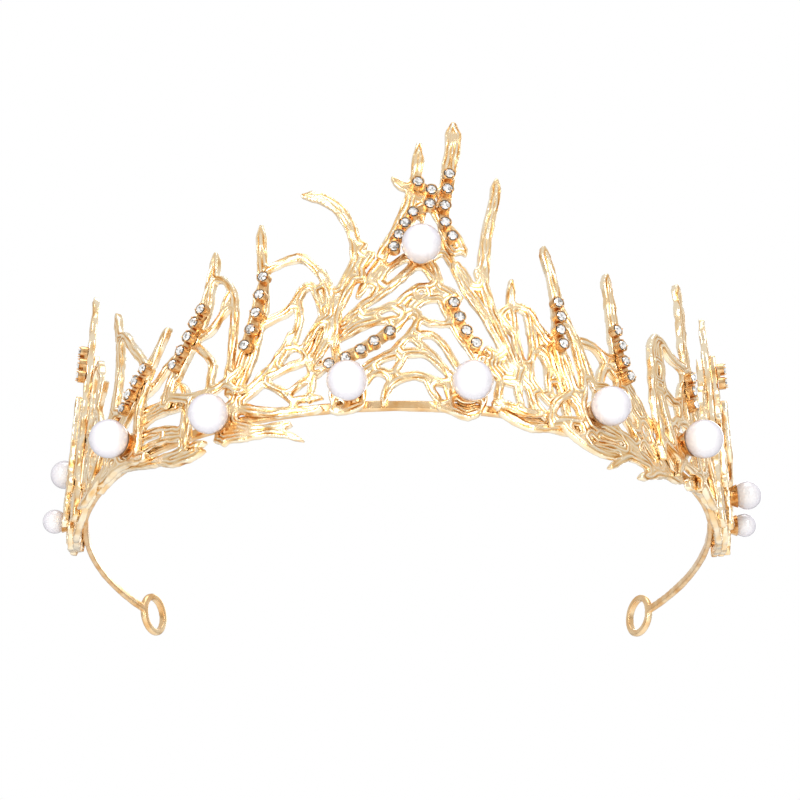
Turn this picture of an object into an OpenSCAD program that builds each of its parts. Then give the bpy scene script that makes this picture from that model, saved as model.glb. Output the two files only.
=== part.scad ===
// Bridal tiara: cast twig branches brazed along a curved base rail, set with
// half-drilled pearls on pegs and rows of foil-backed stones, and carried by
// two side arms that end in ribbon rings. The front faces -Y. A place on the
// crown is given as [s, h]: s runs along the wall from the middle of the
// front, positive to the wearer's left, and h runs up the wall from the rail.

/* [Crown] */
// Radius of the middle of the crown wall, mm
wall_r = 69.5; // [58:0.5:84]
// Height of the tallest spire above the rail's underside, mm
crown_h = 66; // [55:1:80]
// Half of the rail's length, measured along the wall from the front, mm
rail_half = 101; // [98:1:104]
// Inward lean of the crown wall, degrees
lean = 3; // [0:0.5:6]

/* [Base rail] */
// Height of the rail's underside over the crown's zero line, mm
rail_h0 = 0.8; // [0:0.1:1.5]
// Height of the rail's section, mm
rail_w = 1.8; // [1.4:0.1:2.4]
// Radial thickness of the rail, mm
rail_t = 1.2; // [1:0.1:1.6]

/* [Castings] */
// Radial thickness of a branch casting, mm
cast_t = 1.4; // [1.1:0.1:1.7]
// Width of the gap in a fork that the casting fills with a web, mm
web_w = 0.9; // [0.4:0.1:1.2]
// Filler gap under a piece that is brazed on, mm
braze_gap = 0.05; // [0.02:0.01:0.08]
// Width of a twig's tip as a share of its width just before
tip_share = 0.45; // [0.3:0.05:1]

/* [Side arms and ribbon rings] */
// Length of an arm that is brazed along the back of a side casting, mm
arm_lap = 9; // [6:0.5:11]
// Length of an arm from there to the middle of its ring, mm
arm_len = 46; // [40:0.5:54]
// How much thicker the brazed end of an arm is on each face, mm
lap_step = 0.1; // [0.05:0.05:0.2]
// Radius of the arms, which stand open a little wider than the crown, mm
arm_bend_r = 95; // [80:1:130]
// Height of the arm strip, mm
arm_w = 1.8; // [1.4:0.1:2.6]
// Radial thickness of the arm strip, mm
arm_t = 1.1; // [0.9:0.1:1.4]
// Bore of the ribbon ring, mm
ring_bore = 6.9; // [6:0.1:8]
// Width of the ring's band, mm
ring_band = 1.4; // [1.1:0.1:2]
// Thickness of the ring, mm
ring_t = 1.4; // [1.1:0.1:2]

/* [Pearls] */
// Diameter of the seven main pearls, mm
pearl_d = 8; // [6.8:0.1:9.6]
// Diameter of the larger pearl on each side, mm
side_pearl_d = 6.2; // [5.2:0.1:7]
// Diameter of the smaller pearl on each side, mm
end_pearl_d = 5.2; // [4.4:0.1:5.6]
// Thickness of the cup's floor under a pearl, mm
cup_floor = 0.7; // [0.5:0.1:1]
// Height of the cup's rim above its floor, mm
cup_rim = 0.9; // [0.6:0.1:1.2]
// Wall of the cup at its rim, mm
cup_wall = 0.35; // [0.25:0.05:0.5]
// Diameter of the peg that the pearl is glued on, mm
peg_d = 0.9; // [0.7:0.1:1.1]
// Glue clearance between a pearl and its cup or peg, mm
glue_gap = 0.05; // [0.02:0.01:0.1]

/* [Stones] */
// Diameter of a stone at its girdle, mm
stone_d = 2.2; // [1.8:0.1:2.4]
// Wall of a stone's cup, mm
bezel_wall = 0.22; // [0.15:0.01:0.3]
// Height of a stone's cup over its strip, mm
bezel_h = 0.9; // [0.7:0.1:1.2]
// Width of the strip that carries the stone cups, mm
strip_w = 1.9; // [1.4:0.1:2.2]
// Thickness of the strip, mm
strip_t = 0.6; // [0.4:0.1:0.8]
// Clearance between a stone and its cup, mm
stone_gap = 0.04; // [0.02:0.01:0.06]

/* [Hidden] */
$fn = 48;
gold = [0.91, 0.78, 0.55];
rail_gold = [0.85, 0.7, 0.45];
cup_gold = [0.78, 0.6, 0.34];
pearl_white = [0.96, 0.95, 0.97];
stone_clear = [0.82, 0.87, 0.92];
full_h = 66;                      // the spire height that the twig tables are drawn for
rise = crown_h / full_h;
// depths from the middle of the wall: the castings lie in layers, brazed face to face
BACK = -cast_t;
FRONT = 0;
OUTER = cast_t;
THIRD = 2 * cast_t;
pearl_off = cup_floor + pearl_d / 2;
ring_r = ring_bore / 2 + ring_band;
arm_z = rail_h0 + rail_w / 2;
arm_r = wall_radius(arm_z + arm_w / 2 + lap_step, BACK) - braze_gap - lap_step - arm_t / 2;
arm_turn = turn(rail_half + arm_lap);
ring_turn = arm_turn + arm_len / arm_bend_r * 180 / PI;
// the middle of the left arm's arc and of its ring, from the crown's centre
arm_mid = (arm_r - arm_bend_r) * [sin(arm_turn), -cos(arm_turn)];
ring_mid = arm_mid + arm_bend_r * [sin(ring_turn), -cos(ring_turn)];
// ---- the pearls and stones, as [s, h] ----
PEARL_TOP = [4.1, 34.8];
PEARLS_LEFT = [[-9.7, 4], [-37, 1.2], [-62.6, 3.7]];
PEARLS_RIGHT = [[13.4, 4.4], [41.8, 4.5], [68.6, 6.5]];
// [s, h, depth of the cup's underside]
MAIN_PEARLS = [
  [PEARL_TOP[0], PEARL_TOP[1], 0],
  [PEARLS_LEFT[0][0], PEARLS_LEFT[0][1], 0],
  [PEARLS_LEFT[1][0], PEARLS_LEFT[1][1], 0],
  [PEARLS_LEFT[2][0], PEARLS_LEFT[2][1], 0.8],
  [PEARLS_RIGHT[0][0], PEARLS_RIGHT[0][1], 0],
  [PEARLS_RIGHT[1][0], PEARLS_RIGHT[1][1], 0],
  [PEARLS_RIGHT[2][0], PEARLS_RIGHT[2][1], 0.8]
];
// the side pearls are smaller and stand further out: [s, h, depth, diameter]
SIDE_PEARLS = [
  [-108, 16, FRONT, side_pearl_d], [-107, 4.4, OUTER, end_pearl_d],
  [104.6, 9.8, THIRD, side_pearl_d], [110.6, 5.6, THIRD, end_pearl_d]
];
STONES_LEFT_SIDE = [[-96.2, 40], [-96, 37], [-95.8, 34]];
STONES_LEFT_OUTER = [[-57, 18.6], [-59.4, 16.6], [-61.4, 14.2], [-63.2, 11.8]];
STONES_LEFT_BLADE = [[-41.8, 27.2], [-43.4, 24.6], [-44.8, 21.8], [-46.4, 19], [-48.2, 16.4]];
STONES_LEFT_ARCH = [[-28.4, 32], [-29, 28], [-29.6, 24], [-30.6, 20.4], [-31.8, 17]];
STONES_LOWER_FRONT = [[-13.8, 9.9], [-10.6, 11], [-7.6, 12.6], [-5, 14.4], [-2, 16.6]];
STONES_LEFT_LEG = [[3.6, 50.6], [6.3, 48.8], [6, 45.5], [2.6, 43.4], [1, 40.8], [-0.2, 38],
  [-1.2, 35.2]];
STONES_RIGHT_LEG = [[10, 52.9], [9.6, 49.3], [9, 45.3], [9, 41.3], [10.4, 38.2]];
STONES_CENTRE_RIGHT = [[10.7, 23.6], [11.8, 20.4], [13.1, 17.4], [15, 14.8]];
STONES_RIGHT_BLADE = [[32.2, 26.4], [32.7, 23.3], [32.4, 20.2], [32.9, 17.1]];
STONES_RIGHT_FORK = [[47.9, 25.2], [48.9, 22], [49.5, 18.6], [50.7, 15.5]];
STONES_RIGHT_OUTER = [[72, 22.9], [72, 19.8], [72.2, 16.7]];
STONES_RIGHT_SIDE = [[98, 37], [98.2, 33.8]];
// depth of the underside of each row's strip
DEPTH_FRONT_ROW = cast_t + braze_gap;
DEPTH_BACK_ROW = braze_gap;
DEPTH_SIDE_ROW = THIRD + braze_gap;

// ---- the twigs of each casting, drawn by eye: [root width, tip width, route of [s, h]] ----
LEFT_SIDE_LATTICE = [
  [2.4, 1.6, [[-88, 3], [-91, 13], [-93, 23], [-94.5, 32], [-96, 39]]],
  [2, 1.6, [[-86, 2], [-86, 10], [-85, 20], [-84.8, 27], [-86, 31.5], [-88.8, 34], [-92, 32.5],
    [-94.6, 27]]],
  [2.4, 2, [[-82, 1], [-84, 7], [-89, 13], [-95, 18], [-101, 22.5], [-105, 26.5]]],
  [2.2, 1.6, [[-104, 0], [-100.5, 8], [-97, 15], [-94.5, 22]]],
  [2.2, 1.6, [[-112, 1], [-111.5, 9], [-110.5, 15], [-111, 20.5]]],
  [2, 1.6, [[-96, 0], [-101, 9], [-106, 16], [-109.5, 20.5]]],
  [1.8, 1.5, [[-86, 14], [-90, 17.5], [-94, 19], [-99.5, 18.5], [-104.5, 16.5]]],
  [2.4, 1.8, [[-84, 1], [-90, -1], [-98, -1.8], [-106, -1.2], [-112.5, 0.6]]],
  [1.8, 1.5, [[-83, 3], [-87, 5], [-93, 6.5], [-100, 6], [-107, 4], [-112.5, 1.6]]],
  [2, 1.6, [[-108, 0], [-108.6, 8], [-107, 14], [-105, 21], [-105.4, 26]]]
];
LEFT_SIDE_SPRAY = [
  [4, 2.3, [[-91.4, 0], [-94, 10], [-95.5, 22], [-96, 32], [-96.3, 42], [-96.6, 53.5]]],
  [2.6, 2, [[-112, 0], [-110, 8], [-106.5, 14], [-104, 20], [-101.6, 26]]],
  [2.2, 1.8, [[-100, 0], [-103, 6], [-107, 10], [-112, 12.5]]],
  [2.2, 1.8, [[-93.6, 8], [-98, 14], [-101.6, 20], [-105, 27]]],
  [1.8, 1.5, [[-93, 4], [-99, 6.4], [-105, 4], [-112, 2]]],
  [1.8, 1.4, [[-95, 16], [-99, 19], [-103.4, 20.4]]],
  [2.6, 2.2, [[-112.6, 1], [-107, -0.4], [-102, 1.4]]]
];
LEFT_SIDE_CURL = [
  [2.6, 1.8, [[-94, 7], [-97.6, 12], [-100.6, 19], [-100.8, 25], [-98.6, 30]]],
  [2.2, 1.8, [[-100.4, 1.6], [-104, 6.5], [-104.8, 11.5], [-102.8, 17]]],
  [2, 1.6, [[-96.4, 9.6], [-99.6, 8.8], [-103.6, 8.6], [-108, 8.8], [-111.6, 6.4], [-112.6, 2]]]
];
LEFT_OUTER = [
  [2.6, 1.7, [[-70.4, 2], [-70.4, 9.6], [-69.6, 15.6], [-69.2, 21.6], [-69.6, 27.6], [-71, 32.6],
    [-73.2, 38.6]]],
  [1.9, 1.6, [[-70.6, 32], [-68, 31.2], [-65.6, 28.4], [-63.6, 26], [-60.6, 23], [-57.6, 18.4]]],
  [2.2, 1.8, [[-65, 2], [-70, 4.6], [-74, 9], [-77, 15], [-79.5, 19.6]]],
  [2, 1.6, [[-78, 2], [-75, 6], [-72, 11], [-70, 16]]],
  [1.8, 1.4, [[-80, 1.5], [-81, 8], [-80.5, 14], [-78.6, 20], [-76.4, 24]]],
  [2, 1.6, [[-69, 1.2], [-74, 0.8], [-80, -1], [-86, -1.2]]],
  [1.8, 1.4, [[-58, 16], [-60, 11], [-59.6, 6], [-59.6, 0.6]]],
  [2.2, 1.8, [[-57, -0.8], [-62, 0], [-67, 0.2], [-73, -1.2]]],
  [1.6, 1.4, [[-69, 8.6], [-73, 13], [-77.5, 11.6], [-81.5, 8]]],
  [2.2, 2, [[-65.4, 9.6], [-63.2, 12], [-61.4, 14.4], [-59.2, 16.8], [-56.6, 19]]],
  [1.8, 1.6, [[-70, 14], [-66.6, 12.6], [-63, 12.6]]],
  [2, 1.6, [[-66.6, 9.6], [-70.4, 6], [-70, 2.6]]]
];
LEFT_FORK = [
  [3.2, 1.8, [[-70.4, 11.6], [-66.4, 14.6], [-63.6, 17], [-61, 19.4], [-58.6, 22], [-56.6, 24.6],
    [-54, 28]]],
  [1.8, 1.5, [[-64.5, 15.4], [-59, 15.2], [-56, 16.6], [-53.2, 19], [-50.6, 20.6]]],
  [1.8, 1.4, [[-62.6, 15.8], [-60.4, 12], [-60, 8], [-60.6, 4.6], [-62, 1]]],
  [1.7, 1.4, [[-60.6, 10.8], [-55.4, 10.6], [-51, 10.6], [-48, 10], [-44.8, 9]]],
  [1.5, 1.3, [[-60.2, 8.2], [-56.6, 8.8], [-52.8, 8.8], [-47.6, 7.8]]],
  [2, 1.5, [[-61.6, 5.2], [-56, 4.9], [-52, 4.2], [-47, 2.6]]],
  [1.4, 1.3, [[-62, 2], [-56, 2.2], [-50.2, 1.8], [-46, 0.6]]],
  [2.4, 2, [[-76, -0.4], [-70, 0.8], [-65, 0.6], [-60, -0.8], [-55, -2], [-50, -2.4], [-44.6, -2.2],
    [-41.6, -1.6]]],
  [1.7, 1.3, [[-46.4, -2], [-47.2, 3], [-46.8, 8.8]]],
  [1.5, 1.2, [[-46, 8.6], [-47, 11], [-48.6, 13.6]]],
  [1.8, 1.4, [[-54, -2], [-50, -3.8], [-45.4, -4.2], [-41.6, -3.4]]],
  [1.8, 1.5, [[-69, 12.4], [-72.6, 8], [-74.6, 3.6], [-75, -0.6]]],
  [1.6, 1.4, [[-62, 4.4], [-66.4, 6.6], [-71.6, 9]]]
];
LEFT_BLADE = [
  [2.7, 2.1, [[-51.6, 9.4], [-50, 13.8], [-48.2, 17.6], [-45.8, 21.2], [-44, 24.8], [-42.6, 28.8],
    [-41.4, 32.8],
    [-40.6, 36.8], [-40.4, 40.6]]],
  [1.8, 1.5, [[-48.4, 14.4], [-46.8, 17.8], [-44, 21.8], [-42, 26], [-40.8, 31]]],
  [1.5, 1.4, [[-40.6, 35], [-38, 33.8], [-36.2, 31.6], [-35, 28.6], [-34.7, 22.6], [-35, 17.6],
    [-35.2, 14],
    [-35.6, 10]]],
  [1.6, 1.4, [[-44.4, 21.8], [-41, 22.4], [-39, 24.2], [-37.2, 26.4], [-34.8, 27.6]]],
  [1.7, 1.4, [[-44.6, 21.2], [-42.2, 18.4], [-40.2, 16.2], [-39.2, 14.4], [-39.7, 11.6], [-39.8, 8]]],
  [1.3, 1.2, [[-39.8, 23], [-38, 25.4], [-37, 28.6], [-35.8, 31]]],
  [2, 1.7, [[-44.6, 8.4], [-48.6, 9.8], [-52.4, 11]]],
  [1.9, 1.7, [[-45, 8.8], [-40.4, 8.4], [-36, 9.8], [-32.6, 12.4]]],
  [1.7, 1.4, [[-44.6, 9], [-44.6, 3], [-45, -2.6]]],
  [1.6, 1.3, [[-36, 10], [-33.6, 7.6], [-31.6, 7]]]
];
LEFT_ARCH = [
  [2.6, 2.1, [[-34, 8.4], [-31.8, 13.4], [-30.8, 16.6], [-30, 20.4], [-29, 25], [-28.9, 30],
    [-29.4, 35],
    [-30, 40], [-30.4, 45.4]]],
  [2, 1.6, [[-36, 8], [-34, 14.2], [-32.2, 20], [-30.8, 25.6], [-30, 31.4]]],
  [1.8, 1.7, [[-29, 34.6], [-25.4, 35.7], [-21.7, 36.4], [-19, 34.8], [-16.7, 32], [-15.3, 28.6],
    [-14.4, 24]]],
  [1.7, 1.6, [[-29.6, 21.8], [-25.9, 23.2], [-23.3, 24.2], [-21.5, 26.4], [-20.2, 28.6], [-18.4, 29.4],
    [-17.2, 27], [-16, 23.8], [-15.6, 20.4]]],
  [1.7, 1.5, [[-21.4, 26.4], [-20.7, 22], [-21.4, 18.6], [-22.2, 15]]],
  [1.6, 1.4, [[-15.8, 21.6], [-18, 18], [-20, 14.4]]],
  [1.5, 1.4, [[-15.2, 21], [-17, 16.2], [-18.6, 11.8]]],
  [2, 3, [[-22.3, 18.2], [-23.5, 15.6], [-25.7, 12.4], [-28.1, 9.8], [-30.6, 7.6], [-34, 6.2]]],
  [1.6, 1.5, [[-22.6, 16], [-19.9, 14.6], [-18.2, 12]]],
  [1.7, 1.5, [[-28.4, 9.4], [-25.1, 10.5], [-22.4, 11.4], [-19.6, 12], [-17, 11.8], [-15.6, 11.2]]],
  [1.6, 1.4, [[-28.4, 9], [-25.6, 7], [-23, 5.2], [-20.6, 2]]],
  [1.4, 1.3, [[-23.2, 5], [-19, 7.8], [-15.2, 9.8]]],
  [1.4, 1.3, [[-18.6, 12], [-17.6, 8], [-18.2, 3]]],
  [2.4, 1.7, [[-36, 5], [-30.1, 2.8], [-25.1, 1.6], [-20, 1]]],
  [1.3, 1.2, [[-21.6, 3.6], [-18.6, 3.8], [-15.6, 3.6]]],
  [2.2, 1.3, [[-38, -1.6], [-31.4, -2.6], [-27, -2.4], [-23, -3.6], [-19.4, -5.4]]],
  [1.8, 1.3, [[-34.6, 1], [-30, -1], [-25, -1.6], [-22, -1.6]]],
  [2.4, 2, [[-36.6, -2.4], [-34.8, 1], [-35, 7]]],
  [1.9, 1.6, [[-22, 1.5], [-18.6, 1], [-15.8, 1.2]]]
];
LEFT_CURL = [
  [2.7, 2.1, [[-8.2, 29.4], [-8.8, 35], [-9.7, 40], [-11.3, 43.6], [-13.5, 46.6], [-16.7, 49],
    [-20.4, 50]]],
  [1.9, 1.8, [[-6, 34.6], [-7.6, 32.4], [-9.6, 29], [-11, 25.6], [-12.2, 22.2], [-12.8, 18.6],
    [-13, 14]]],
  [1.6, 1.4, [[-7.4, 37], [-8.8, 34.4], [-10.6, 30.4], [-12.2, 27], [-14, 25]]],
  [1.9, 1.7, [[-16, 31.2], [-14.3, 27.6], [-13.6, 24.2], [-14, 19.6], [-14.8, 15], [-17, 10.6]]],
  [1.4, 1.3, [[-13.6, 21.2], [-16.6, 19], [-19, 14.4]]]
];
CENTRE = [
  [1.9, 1.6, [[3, 33], [0.3, 30], [-4.4, 25.9], [-7, 24.3], [-9, 22.5], [-12.4, 19]]],
  [1.6, 1.4, [[1.4, 35], [-2, 32.4], [-3.8, 29.6], [-6, 25.6]]],
  [1.9, 1.6, [[-12.6, 18], [-9, 20.2], [-5.4, 22], [-1.5, 23.5], [1.4, 24]]],
  [1.6, 1.4, [[-12.4, 16.4], [-8.3, 18.7], [-4.7, 20], [0.6, 20.6]]],
  [2.4, 2.1, [[-12.8, 11.2], [-10.4, 12.4], [-6.6, 14.4], [-3.4, 16.6], [-0.4, 19.4], [2, 22.6],
    [4.6, 25], [8, 25.8],
    [11, 25.2]]],
  [1.8, 1.6, [[-6.4, 9.4], [-3.6, 11.6], [-1.4, 13], [0.6, 15.4], [2.8, 18], [4.2, 22]]],
  [1.7, 1.6, [[-1, 22.8], [1, 25.6], [4, 27.8], [7, 27.9], [10, 27.2], [12.6, 25.6]]],
  [1.8, 1.7, [[4.6, 33.4], [7.2, 29.6], [8.2, 26.4], [9.2, 23.4], [10.6, 20.4], [12, 17.4],
    [14.2, 14.2],
    [16, 10.6], [16.4, 7]]],
  [1.5, 1.4, [[2.4, 18], [4, 16.9], [6.4, 17.1], [8.6, 15.2], [10.2, 12.6], [12, 9]]],
  [1.5, 1.4, [[2.4, 21.8], [6, 19.8], [11, 19.6]]],
  [1.8, 2, [[-12.8, 19.4], [-13.2, 15.4], [-12.6, 11], [-13, 6.6], [-13.2, 1]]],
  [1.9, 1.7, [[8, 29.4], [5.6, 34.6], [1.4, 36.8]]],
  [2.1, 1.9, [[4.2, 33], [7.4, 35.6], [9.4, 39.6], [8.9, 44]]],
  [2, 1.7, [[0.6, 42.4], [-1.6, 38], [-4, 33.6], [-6.4, 30], [-8.6, 26]]],
  [1.7, 1.5, [[8.6, 37.6], [11.6, 32.6], [14, 27.2], [16.4, 23.4]]],
  [1.7, 1.5, [[14.8, 12.8], [17.6, 13.4], [20, 12]]],
  [1.8, 1.6, [[-6.8, 6.4], [-5.4, 8.3], [-3.4, 8.5], [-1.6, 6.6], [-2.8, 4], [-3.2, 1.4]]],
  [1.8, 1.6, [[-7.8, 8.8], [-4, 11.4], [-1, 12.4], [2.4, 12.8], [5.2, 12.7], [7.8, 10.7],
    [9.8, 8.4], [12, 6]]],
  [1.6, 1.5, [[-2, 6.4], [-0.4, 9.8], [1.4, 12.8]]],
  [1.8, 1.6, [[-2.4, 5.2], [-0.4, 6.9], [2.8, 7.7], [5.6, 7.1], [8.2, 6.4], [10.8, 7]]],
  [1.7, 1.5, [[5.4, 7.2], [6.4, 4.4], [8.4, 1.4]]],
  [1.5, 1.4, [[2, 17], [3.6, 15.2], [6, 13.2], [9, 9.4]]],
  [1.5, 1.3, [[-7.2, 8], [-7.4, 5], [-7.2, 1.4]]],
  [1.7, 1.6, [[10, 8], [9.6, 5], [10.4, 1.4]]],
  [1.8, 1.6, [[-7.6, 1.6], [-10.6, 0.4], [-13.6, 0.4]]],
  [2, 1.8, [[8, 1.2], [11, 0.4], [13.4, -0.4], [16.4, 1]]],
  [1.9, 1.7, [[16, 8.6], [16.8, 5], [16.4, 1.2]]]
];
CENTRE_SPIRES = [
  [2.5, 2.3, [[-3.6, 34.4], [-1.6, 38.2], [0.5, 42.8], [1.7, 46.6], [2.7, 50.2], [3.5, 54.2],
    [4, 60.6]]],
  [2.5, 3.4, [[11.4, 36], [9.4, 40.4], [8.8, 44.2], [9.2, 48], [9.9, 52], [10.7, 57], [11.3, 61.4],
    [11.4, 66]]],
  [1.9, 1.7, [[2.2, 50.2], [0.4, 50.8], [-1.5, 52.6]]],
  [1.7, 1.6, [[2.8, 50], [5, 47.6], [7.2, 44.8], [9, 41]]],
  [1.6, 1.5, [[1.2, 45.6], [4, 47], [7, 49.6], [9.8, 50.6]]],
  [1.5, 1.3, [[2, 48.6], [4.4, 46], [4.6, 42.2]]],
  [2, 1.8, [[9.4, 41.6], [11.4, 39.4], [12.8, 36.8], [13.4, 35.4]]],
  [1.5, 1.4, [[2.4, 47], [2.8, 43.6], [1, 39.6]]]
];
RIGHT_SPIKE = [
  [2.1, 1.7, [[11.3, 32.4], [12.2, 29.8], [13.7, 26.8], [15.8, 23.4], [17.6, 20.6], [19, 17.8],
    [20.4, 14.6],
    [21.6, 10.6]]],
  [1.6, 1.4, [[12.6, 31.4], [15.4, 26], [17.5, 22.6], [19.2, 19], [20.8, 15]]],
  [2.5, 1.9, [[16.6, 27.6], [17.2, 32.6], [17.6, 37], [18.2, 41.6], [19.3, 46], [20.1, 49.8],
    [20.5, 53.8]]],
  [1.8, 1.6, [[16, 31.6], [17.2, 28], [18.2, 24.2], [19.4, 21], [20.8, 17], [22.4, 13], [24.2, 9.4]]],
  [1.7, 1.6, [[17.4, 13.8], [18.6, 13.2], [20.6, 11.6], [24, 9.6]]],
  [1.5, 1.4, [[17.4, 11.4], [19.6, 10.4], [23.4, 8.4]]],
  [2, 1.7, [[24.8, 11], [22, 7.2], [19.4, 8.2], [17.2, 10.4]]],
  [1.6, 1.4, [[24, 9.2], [23.5, 5.2], [24.4, 0.6]]],
  [1.6, 1.4, [[20.2, 8], [19.4, 4.6], [19.2, 1]]],
  [1.7, 1.5, [[18.6, 2], [21.4, 2], [25, 1], [28.6, 1.4]]]
];
RIGHT_FAN = [
  [2.1, 1.6, [[28, 2], [26.5, 7.9], [25.1, 12.1], [24.3, 16], [23.6, 21], [23.2, 26.4], [23.6, 31.4]]],
  [2.1, 1.9, [[20.4, 22.6], [23.5, 25.3], [26.9, 25], [28.5, 22.6], [30.5, 20], [33.1, 18.2],
    [35.1, 16.2],
    [36, 12.4], [36.6, 8], [37, 5.6]]],
  [1.7, 1.5, [[26.9, 24.6], [27.6, 19.3], [27.7, 15.6], [26.9, 11.4], [27.2, 6]]],
  [1.6, 1.5, [[27.5, 18.7], [29.5, 16], [30.9, 13.6], [30.9, 9.6], [31.6, 5]]],
  [1.6, 1.4, [[25.8, 10.6], [28.2, 8], [31, 4.6]]],
  [1.8, 1.5, [[20.2, 22.8], [22.4, 20.6], [24.2, 18]]],
  [2, 1.8, [[20.6, 1.4], [23.4, -0.4], [27, -1.2], [31, -0.6], [35, -0.6], [37.2, -0.4]]],
  [1.9, 1.6, [[27.6, 4], [29.6, 2], [33, 0]]],
  [2.2, 1.8, [[29.6, 21], [32, 15], [33.4, 10], [34.6, 5.6], [35.4, -0.4]]],
  [1.7, 1.5, [[31, 5.6], [33, 6.4], [35, 5]]],
  [1.9, 1.7, [[22.8, 12.4], [24.6, 9.4], [27, 6.6]]]
];
RIGHT_BLADE = [
  [2.6, 2, [[36.6, 5.6], [35.2, 10], [33.8, 14], [33, 18.2], [33, 22.6], [33.1, 26.6], [32.8, 30.2],
    [32.2, 33.6], [31.3, 36.6], [30.6, 39.8]]],
  [1.8, 1.5, [[33.6, 26.4], [35.4, 23.2], [37.1, 20], [38.6, 16.2], [39.8, 13.2], [41.2, 9.6]]],
  [1.6, 1.4, [[35, 23.6], [36.8, 19.2], [37.8, 15.2], [38.4, 10.6], [38.2, 5.6]]],
  [2.7, 2.3, [[37.2, 8], [37.4, 4.6], [38.6, 1.6], [41, -1.4]]],
  [1.8, 1.5, [[41, 10.4], [44, 11], [47, 9.2]]],
  [1.7, 1.5, [[36.4, 8.2], [33.2, 5.8], [30.8, 2.6], [30.4, -1]]],
  [2, 1.7, [[30.6, 0], [35, 1.2], [39, 1.2], [43, 0.2], [47, 0.2]]],
  [1.9, 1.6, [[33.6, -0.4], [38, -3.2], [42.6, -4.2], [46.4, -3.8]]],
  [1.7, 1.5, [[37.4, 0.4], [38.2, -2], [39.8, -4]]]
];
RIGHT_FORK = [
  [3, 2, [[56.4, 8], [53.6, 11.6], [51, 15], [49.4, 18.4], [49, 23], [48.6, 28.4], [48.3, 32.8],
    [48, 35.8], [47.8, 38.8]]],
  [1.8, 1.6, [[39, 20.8], [42.8, 20.6], [45, 19.2], [47.4, 19.2], [49.6, 20.4]]],
  [1.8, 1.6, [[44.6, 19.4], [46.6, 16.6], [49, 14.6], [51.2, 11.2], [53.8, 7]]],
  [1.7, 1.5, [[46, 17.8], [44.4, 15], [43.2, 11], [42.2, 7]]],
  [2.1, 1.7, [[53.6, 10.8], [55.8, 8.6], [58.4, 8.1], [61.6, 7.4], [65.4, 5.4]]],
  [1.7, 1.5, [[49.4, 15], [48, 11.4], [49.2, 8], [51.8, 5], [54.4, 1.6]]],
  [1.9, 1.6, [[55, 9.2], [54.2, 5.4], [56.2, 2.4], [59.4, -0.2]]],
  [1.9, 1.6, [[58, 8.2], [57.8, 4.6], [59.8, 1.6], [63.4, -1.4]]],
  [2.3, 2, [[40.4, -2], [45.6, -1.6], [50, -1.4], [55, -1.8], [59.6, -2], [64, -1.6], [69, -1.4]]],
  [1.9, 1.4, [[50.6, -1.6], [47.6, -3.8], [45, -6]]],
  [2, 1.5, [[61.4, -2.2], [56.6, -4.2], [53.6, -5.6]]],
  [1.9, 1.6, [[43.6, 3.4], [50, 2.2], [54, 0], [58, -1.8]]],
  [1.8, 1.6, [[41, 6.6], [45.4, 5], [48.8, 1.8], [52, -1.6]]],
  [1.6, 1.5, [[60.8, 7.8], [63.2, 4], [66.2, 1.4], [69, -1.2]]],
  [1.8, 1.5, [[41.6, 7], [40.8, 2.4], [41.4, -2]]]
];
RIGHT_OUTER = [
  [3.2, 2.5, [[78.6, 11.4], [76.6, 16.4], [75.2, 21.4], [73.8, 26.4], [73.2, 31.4], [73.2, 36.4],
    [73.5, 40.6],
    [72.8, 45.6]]],
  [2.3, 1.8, [[73.6, 26], [70.2, 25.6], [66, 26], [63.4, 27.8], [61, 28.2], [59.4, 25.2], [59, 19.6],
    [58.6, 13.6], [59.4, 6.6], [60.2, 0.4]]],
  [1.9, 1.7, [[75, 22.8], [71, 21], [69, 17], [67.6, 12]]],
  [1.9, 1.7, [[61.6, 27], [62, 20.6], [61.4, 14.6], [63, 8.6], [66, 3]]],
  [1.8, 1.6, [[61.6, 16.6], [65, 15.2], [69, 17], [73.6, 21.2]]],
  [2.3, 1.9, [[78, 14], [74, 11.6], [70, 12.2], [66, 11], [62.4, 8]]],
  [2.1, 1.7, [[77.6, 15], [79, 8.6], [78, 3.6], [75, -1]]],
  [1.9, 1.7, [[65, 10.6], [67.6, 6.6], [67, 2.6], [65, -1.6]]],
  [2, 1.7, [[71, 11.2], [74.4, 7.2], [75, 3.2], [79, 0], [84, -1.6]]],
  [1.9, 1.5, [[59.6, 5.2], [64, 3.6], [69, 2], [74, 2.2], [79.4, 4.2]]],
  [1.9, 1.5, [[78.6, 11.8], [83, 7.6], [85.4, 2.6], [86, -1.8]]],
  [2, 1.8, [[72.2, 24.4], [72, 20], [72.2, 15.6], [73, 12]]]
];
RIGHT_SIDE_LATTICE = [
  [2.4, 1.6, [[91, 1], [93, 12], [94, 22], [94.6, 31], [95.6, 38.6]]],
  [2, 1.6, [[88, 1], [87, 10], [87.6, 18], [89, 25], [91.6, 29.6], [95, 30.4]]],
  [2.2, 1.9, [[82, 0], [87, 7], [92, 13], [98, 18], [103, 21], [107, 24]]],
  [2.4, 1.9, [[112, 0], [111, 9], [109, 15.6], [107, 20], [106.6, 25]]],
  [2, 1.7, [[103, 0], [100.6, 8], [97.4, 15], [94.2, 22]]],
  [2.4, 1.9, [[72.6, -0.6], [78, 0.8], [85, 0.6], [91, -1.2], [98, -2], [106, -1.4], [112.5, 0.6]]],
  [1.9, 1.6, [[83, 4], [90, 5.6], [97, 5.6], [105, 4.4], [112.5, 2.6]]],
  [1.8, 1.6, [[86.6, 12], [90.4, 16.6], [95, 18], [100, 16], [105.6, 11]]],
  [1.9, 1.7, [[93.4, 0], [98, 8], [103.6, 12], [108.6, 16.6], [110.6, 20]]],
  [1.8, 1.6, [[76, 0], [77, 6], [81.6, 9.6], [87.6, 11]]]
];
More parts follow.
